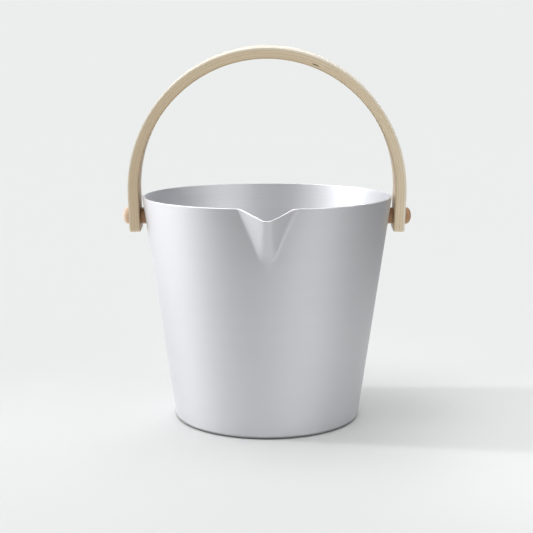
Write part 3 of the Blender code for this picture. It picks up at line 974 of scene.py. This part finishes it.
def tent_cloth(studio):
    """Faintly blue cloth that shines by where it hangs, in low and high panels."""
    material, add = new_material("tent_cloth")
    material.cycles.emission_sampling = "NONE"
    add.tree.nodes.clear()
    spot = add.spot()
    heading = add.vector("NORMALIZE", add.level(spot))

    def facing(degrees):
        """Cosine of the angle round the tent from a direction."""
        azimuth = radians(degrees)
        towards = (sin(azimuth), -cos(azimuth), 0)
        return add.vector("DOT_PRODUCT", heading, towards)

    low = TENT_LOW
    for degrees, narrowness, brightness in LOW_PANELS:
        panel = add.calc("POWER", add.calc("MAXIMUM", facing(degrees), 0.0), narrowness)
        low = add.weighed(low, (panel, brightness))
    high = TENT_HIGH
    for degrees, half_width, blend, brightness in HIGH_PANELS:
        outer = cos(radians(half_width + blend))
        inner = cos(radians(half_width - blend))
        panel = add.fade(facing(degrees), outer, inner, 0.0, brightness)
        high = add.calc("ADD", high, panel)
    raised = add.fade(add.parts(spot)[2], *TENT_STEP)
    total = add.weighed(low, (raised, add.calc("SUBTRACT", high, low)))
    total = add.times(total, studio.tent)
    glow = add.place("Emission", {"Strength": total, "Color": TENT_TINT})
    add.place("OutputMaterial", {"Surface": glow[0]})
    return material


def add_tent(studio):
    """A ring of cloth round the bucket, which only mirroring surfaces see."""
    bm = bmesh.new()
    bmesh.ops.create_circle(bm, segments=STUDIO_SIDES, radius=studio.tent_radius)
    drawn = bmesh.ops.extrude_edge_only(bm, edges=bm.edges[:])["geom"]
    top = [item for item in drawn if isinstance(item, bmesh.types.BMVert)]
    bmesh.ops.translate(bm, verts=top, vec=(0, 0, studio.tent_height))
    tent = make_object("light_tent", bm)
    tent.data.materials.append(tent_cloth(studio))
    for kind in ("camera", "diffuse", "transmission", "volume_scatter", "shadow"):
        setattr(tent, f"visible_{kind}", False)


def add_floor(studio):
    bm = bmesh.new()
    bmesh.ops.create_circle(bm, cap_ends=True, segments=STUDIO_SIDES, radius=FLOOR_RADIUS)
    floor = make_object("floor", bm)
    if floor.data.polygons[0].normal.z < 0:
        floor.data.flip_normals()
    floor.data.materials.append(studio_floor(studio))


def light_world(studio):
    """The backdrop's colour wherever it is seen or mirrored, and a dimmer sky as light."""
    world = bpy.data.worlds.new("studio")
    world.use_nodes = True
    add = Nodes(world.node_tree)
    path = add.place("LightPath", {})
    seen = add.calc("MAXIMUM", path["Is Camera Ray"], path["Is Glossy Ray"])
    colour = add.layered([studio.sky] * 3, (seen, studio.backdrop))
    add.fill(add.tree.nodes["Background"], {"Color": colour})
    bpy.context.scene.world = world


def add_lamp(name, azimuth, elevation, spread, strength, share):
    """A lamp far away, with its angles in degrees and a share of its strength."""
    azimuth, elevation = radians(azimuth), radians(elevation)
    lamp = bpy.data.lights.new(name, "SUN")
    change(lamp, energy=strength * share, angle=radians(spread))
    lamp.cycles.use_multiple_importance_sampling = False
    level = cos(elevation)
    towards = Vector((-level * cos(azimuth), level * sin(azimuth), sin(elevation)))
    add_object(name, lamp).rotation_euler = towards.to_track_quat("Z", "Y").to_euler()


def add_camera(studio):
    lens = SENSOR_WIDTH * studio.focal_pixels / PHOTO_PIXELS
    data = change(bpy.data.cameras.new("camera"), sensor_width=SENSOR_WIDTH, lens=lens)
    camera = add_object("camera", data)
    camera.location = (studio.camera_across, -studio.camera_distance, studio.camera_height)
    camera.rotation_euler = (pi / 2 - studio.camera_pitch, 0, 0)
    bpy.context.scene.camera = camera


# Operators


def finish_piece(piece, body, node, material=None):
    """Says what a piece rides on and stands for, and gives it its material."""
    if material:
        piece.data.materials.clear()
        piece.data.materials.append(material)
    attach(piece, body)
    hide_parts(node)


def settings(context):
    """The groups of sizes and colours, and the pivots' stations that follow from them."""
    scene = context.scene
    vessel, pivots, bow = scene.bucket_vessel, scene.bucket_pivots, scene.bucket_bow
    return vessel, pivots, bow, scene.bucket_finish, Stations(vessel, pivots, bow)


class BUCKET_OT_vessel(bpy.types.Operator):
    """Build the spun aluminium vessel with its pressed spout"""

    bl_idname = "bucket.vessel"
    bl_label = "Build vessel"

    def execute(self, context):
        vessel, pivots, _, finish, _ = settings(context)
        # The inside's paler, bluer aluminium is painted light.
        outside, inside = finish.aluminium, finish.aluminium_inside_painted_light
        materials = (
            satin_aluminium("aluminium_outside", outside, vessel, *SATIN_OUTSIDE),
            satin_aluminium("aluminium_inside_painted_light", inside, vessel, *SATIN_INSIDE),
        )
        shell = make_vessel(vessel, pivots, materials)
        finish_piece(shell, "vessel", "vessel")
        return {"FINISHED"}


class BUCKET_OT_bow(bpy.types.Operator):
    """Build the four glued bamboo strips of the bow handle"""

    bl_idname = "bucket.bow"
    bl_label = "Build bow"

    def execute(self, context):
        _, pivots, bow, finish, at = settings(context)
        material = laminated_bamboo(finish, bow)
        for number in range(1, bow.plies + 1):
            strip = make_strip(number, bow, pivots, at)
            finish_piece(strip, "handle", f"bow_ply_{number}", material)
        return {"FINISHED"}


class BUCKET_OT_pegs(bpy.types.Operator):
    """Build the turned pegs and the spacers between the wall and the bow's legs"""

    bl_idname = "bucket.pegs"
    bl_label = "Build pegs and spacers"

    def execute(self, context):
        vessel, pivots, _, finish, at = settings(context)
        material = turned_redwood(finish, at)
        radius = pivots.spacer_radius
        ends = (at.spacer_face, at.wall - 2 * radius)
        for side, word in SIDES:
            peg = make_peg(f"peg_turned_{word}", pivots, at)
            spacer = make_ring(f"spacer_turned_{word}", pivots, radius, *ends)
            for piece in (peg, spacer):
                piece.data.transform(across_pivots(side, at.height))
            cut(spacer, wall_cone("wall_outside", vessel, -pivots.seat_gap))
            finish_piece(peg, "vessel", f"peg_{word}", material)
            finish_piece(spacer, "vessel", f"spacer_{word}", material)
        return {"FINISHED"}


class BUCKET_OT_screws(bpy.types.Operator):
    """Build the screws inside the vessel and their sealing washers"""

    bl_idname = "bucket.screws"
    bl_label = "Build screws and washers"

    def execute(self, context):
        vessel, pivots, _, finish, at = settings(context)
        steel = stainless_steel(finish, at)
        rubber = seal_rubber(finish)
        radius = pivots.washer_radius
        ends = (at.washer_face, at.wall + radius)
        inward = vessel.sheet + pivots.seat_gap
        for side, word in SIDES:
            screw = make_screw(f"screw_domed_{word}", pivots, at)
            washer = make_ring(f"washer_wedge_{word}", pivots, radius, *ends)
            for piece in (screw, washer):
                piece.data.transform(across_pivots(side, at.height))
            cut(washer, wall_cone("wall_inside", vessel, inward), "INTERSECT")
            finish_piece(screw, "vessel", f"screw_{word}", steel)
            finish_piece(washer, "vessel", f"seal_washer_{word}", rubber)
        return {"FINISHED"}


class BUCKET_OT_studio(bpy.types.Operator):
    """Build the floor, the lamps, the light tent and the camera"""

    bl_idname = "bucket.studio"
    bl_label = "Build studio"

    def execute(self, context):
        studio = context.scene.bucket_studio
        add_floor(studio)
        light_world(studio)
        for name, values in LAMPS.items():
            add_lamp(name, *values, studio.lamps)
        add_tent(studio)
        add_camera(studio)
        context.scene.view_settings.view_transform = "Standard"
        return {"FINISHED"}


class BUCKET_PT_sidebar(bpy.types.Panel):
    """Lists the bucket's pieces with their sizes and colours"""

    bl_idname = "BUCKET_PT_sidebar"
    bl_label = "Sauna bucket"
    bl_space_type = "VIEW_3D"
    bl_region_type = "UI"
    bl_category = "Sauna bucket"

    def draw(self, context):
        for operator in OPERATORS:
            self.layout.operator(operator.bl_idname)
        for name, cls in SETTINGS.items():
            box = self.layout.box()
            for key in cls.__annotations__:
                box.prop(getattr(context.scene, name), key)


SETTINGS = {
    "bucket_vessel": BucketVessel,
    "bucket_pivots": BucketPivots,
    "bucket_bow": BucketBow,
    "bucket_finish": BucketFinish,
    "bucket_studio": BucketStudio,
}
OPERATORS = (BUCKET_OT_vessel, BUCKET_OT_bow, BUCKET_OT_pegs, BUCKET_OT_screws, BUCKET_OT_studio)
CLASSES = (*SETTINGS.values(), *OPERATORS, BUCKET_PT_sidebar)


def register():
    for cls in CLASSES:
        bpy.utils.register_class(cls)
    for name, cls in SETTINGS.items():
        setattr(bpy.types.Scene, name, PointerProperty(type=cls))


def unregister():
    for name in SETTINGS:
        delattr(bpy.types.Scene, name)
    for cls in reversed(CLASSES):
        bpy.utils.unregister_class(cls)


def main():
    register()
    bpy.ops.bucket.vessel()
    bpy.ops.bucket.bow()
    bpy.ops.bucket.pegs()
    bpy.ops.bucket.screws()
    bpy.ops.bucket.studio()


if __name__ == "__main__":
    main()
